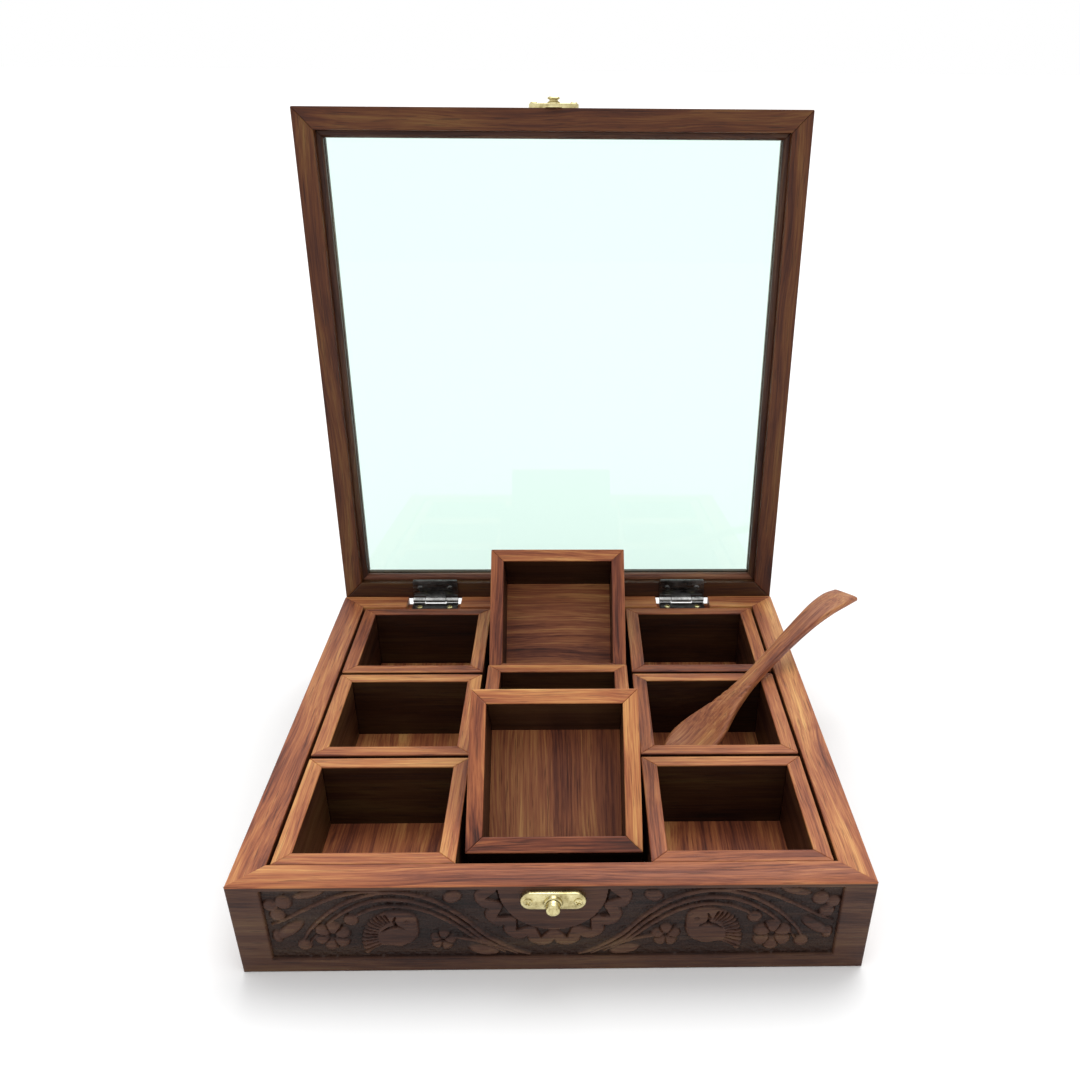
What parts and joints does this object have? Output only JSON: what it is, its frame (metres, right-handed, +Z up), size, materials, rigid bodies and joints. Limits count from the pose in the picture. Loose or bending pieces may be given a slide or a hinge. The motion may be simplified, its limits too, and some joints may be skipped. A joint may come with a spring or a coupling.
{
  "type": "wooden spice box",
  "caption": "Square wooden spice box with a hinged glass lid, nine loose inner boxes, a push-button catch and a wooden spoon.",
  "frame": {"origin": "centre of the tray's flat underside", "axes": "+Z up; the carved front with the catch faces -Y; +X to the right seen from the front; the lid hinges along X at the back"},
  "size_m": [0.2911, 0.2984, 0.302],
  "materials": {
    "tray_wood": "oiled sheesham, satin",
    "lid_wood": "oiled sheesham, satin",
    "box_wood": "oiled sheesham, satin",
    "spoon_wood": "oiled sheesham, satin",
    "brass": "pale polished brass",
    "hinge_steel": "dulled steel",
    "glass": "clear float glass"
  },
  "bodies": {
    "tray": {"catch_plate": "brass", "catch_screws": "brass", "catch_spring": "hinge_steel", "left_hinge_lower_leaf": "hinge_steel", "left_hinge_lower_screws": "brass", "left_hinge_pin": "hinge_steel", "right_hinge_lower_leaf": "hinge_steel", "right_hinge_lower_screws": "brass", "right_hinge_pin": "hinge_steel", "tray_back_rail": "tray_wood", "tray_base_panel": "tray_wood", "tray_front_rail": "tray_wood", "tray_left_rail": "tray_wood", "tray_right_rail": "tray_wood"},
    "lid": {"glass_bead_back": "lid_wood", "glass_bead_front": "lid_wood", "glass_bead_left": "lid_wood", "glass_bead_right": "lid_wood", "left_hinge_upper_leaf": "hinge_steel", "left_hinge_upper_screws": "brass", "lid_back_rail": "lid_wood", "lid_front_rail": "lid_wood", "lid_glass_pane": "glass", "lid_left_stile": "lid_wood", "lid_right_stile": "lid_wood", "right_hinge_upper_leaf": "hinge_steel", "right_hinge_upper_screws": "brass", "strike_plate": "brass", "strike_screws": "brass"},
    "catch_button": {"catch_button": "brass"},
    "spoon": {"spoon": "spoon_wood"},
    "front_left_box": {"front_left_box_walls": "box_wood", "front_left_box_floor": "box_wood"},
    "front_centre_box": {"front_centre_box_walls": "box_wood", "front_centre_box_floor": "box_wood"},
    "front_right_box": {"front_right_box_walls": "box_wood", "front_right_box_floor": "box_wood"},
    "mid_left_box": {"mid_left_box_walls": "box_wood", "mid_left_box_floor": "box_wood"},
    "mid_centre_box": {"mid_centre_box_walls": "box_wood", "mid_centre_box_floor": "box_wood"},
    "mid_right_box": {"mid_right_box_walls": "box_wood", "mid_right_box_floor": "box_wood"},
    "rear_left_box": {"rear_left_box_walls": "box_wood", "rear_left_box_floor": "box_wood"},
    "rear_centre_box": {"rear_centre_box_walls": "box_wood", "rear_centre_box_floor": "box_wood"},
    "rear_right_box": {"rear_right_box_walls": "box_wood", "rear_right_box_floor": "box_wood"}
  },
  "joints": [
    {"name": "lid_hinge", "type": "hinge", "parent": "tray", "child": "lid", "pos_m": [0, 0.127, 0.044], "axis": [-1, 0, 0], "range_deg": [-94.2, 0]},
    {"name": "catch_button_press", "type": "slide", "parent": "tray", "child": "catch_button", "axis": [0, 1, 0], "range_m": [0, 0.002], "stiffness_N_per_m": 400, "springref_m": -0.002},
    {"name": "mid_centre_box_slide", "type": "slide", "parent": "tray", "child": "mid_centre_box", "axis": [0, -1, 0], "range_m": [0, 0.0097]},
    {"name": "front_centre_box_take_out", "type": "hinge", "parent": "tray", "child": "front_centre_box", "pos_m": [0, -0.135, 0.045], "axis": [1, 0, 0], "range_deg": [0, 144.1]},
    {"name": "rear_centre_box_take_out", "type": "hinge", "parent": "tray", "child": "rear_centre_box", "pos_m": [0, -0.11, 0.03], "axis": [1, 0, 0], "range_deg": [0, 160.1]},
    {"name": "spoon_draw_out", "type": "slide", "parent": "mid_right_box", "child": "spoon", "axis": [0.866, 0, 0.5], "range_m": [0, 0.1205]},
    {"name": "front_left_box_lift", "type": "slide", "parent": "tray", "child": "front_left_box", "axis": [0, 0, 1], "range_m": [0, 0.06]},
    {"name": "front_right_box_lift", "type": "slide", "parent": "tray", "child": "front_right_box", "axis": [0, 0, 1], "range_m": [0, 0.06]},
    {"name": "mid_left_box_lift", "type": "slide", "parent": "tray", "child": "mid_left_box", "axis": [0, 0, 1], "range_m": [0, 0.06]},
    {"name": "mid_right_box_lift", "type": "slide", "parent": "tray", "child": "mid_right_box", "axis": [0, 0, 1], "range_m": [0, 0.06]},
    {"name": "rear_left_box_lift", "type": "slide", "parent": "tray", "child": "rear_left_box", "axis": [0, 0, 1], "range_m": [0, 0.06]},
    {"name": "rear_right_box_lift", "type": "slide", "parent": "tray", "child": "rear_right_box", "axis": [0, 0, 1], "range_m": [0, 0.06]}
  ],
  "couplings": [
    {"joint": "mid_centre_box_slide", "follows": "lid_hinge", "m_per_rad": -0.0058391},
    {"joint": "front_centre_box_take_out", "follows": "lid_hinge", "ratio": -1.5287},
    {"joint": "rear_centre_box_take_out", "follows": "lid_hinge", "ratio": -1.6985},
    {"joint": "spoon_draw_out", "follows": "lid_hinge", "m_per_rad": -0.072988},
    {"joint": "rear_right_box_lift", "follows": "mid_right_box_lift", "ratio": 1}
  ]
}
